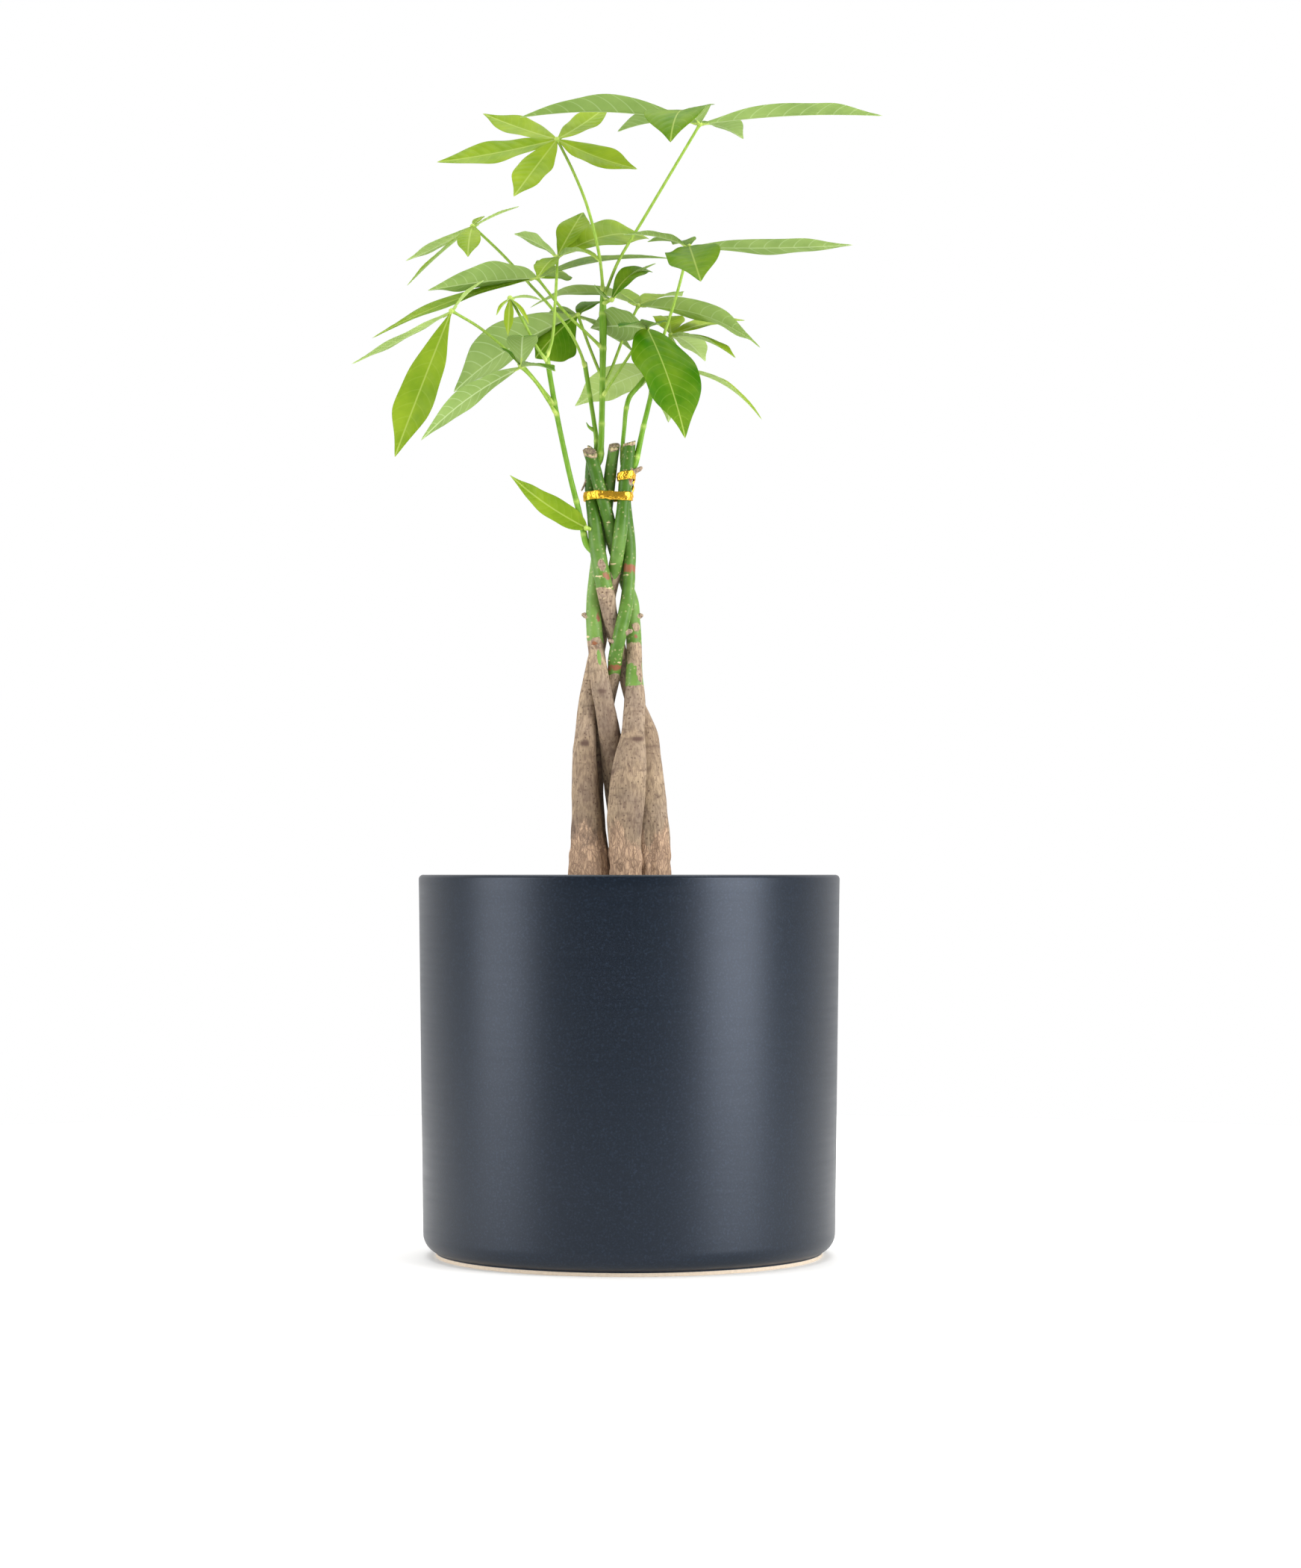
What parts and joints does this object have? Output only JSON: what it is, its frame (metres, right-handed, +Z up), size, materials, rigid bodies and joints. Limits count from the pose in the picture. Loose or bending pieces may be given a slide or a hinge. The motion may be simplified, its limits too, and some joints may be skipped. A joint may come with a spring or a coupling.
{
  "type": "potted money tree",
  "caption": "Round glazed pot filled with soil, holding a braid of swollen stems tied with foil and topped by slim green shoots with palmate leaves.",
  "frame": {"origin": "middle of the pot's foot, on the surface that the pot stands on", "axes": "+Z up along the pot's axis, -Y towards the front of the plant, +X to the right seen from the front"},
  "size_m": [0.2397, 0.19, 0.5287],
  "materials": {
    "pot_glaze": "satin",
    "potting_soil": "matte",
    "stem_bark": "matte",
    "green_shoot": "satin",
    "leaf": "satin",
    "gold_foil": "polished"
  },
  "bodies": {
    "root": {"pot": "pot_glaze", "soil": "potting_soil", "trunk_a": "stem_bark", "trunk_b": "stem_bark", "trunk_c": "stem_bark", "trunk_d": "stem_bark", "trunk_e": "stem_bark", "tie": "gold_foil", "shoot_1": "green_shoot", "shoot_2": "green_shoot", "shoot_3": "green_shoot", "shoot_4": "green_shoot", "shoot_5": "green_shoot", "leaf_01": "leaf", "leaf_02": "leaf", "leaf_03": "leaf", "leaf_04": "leaf", "leaf_05": "leaf", "leaf_06": "leaf", "leaf_07": "leaf", "leaf_08": "leaf", "leaf_09": "leaf", "leaf_10": "leaf", "leaf_11": "leaf", "leaf_12": "leaf", "leaf_13": "leaf", "leaf_14": "leaf", "leaf_15": "leaf", "leaf_16": "leaf"}
  },
  "joints": []
}
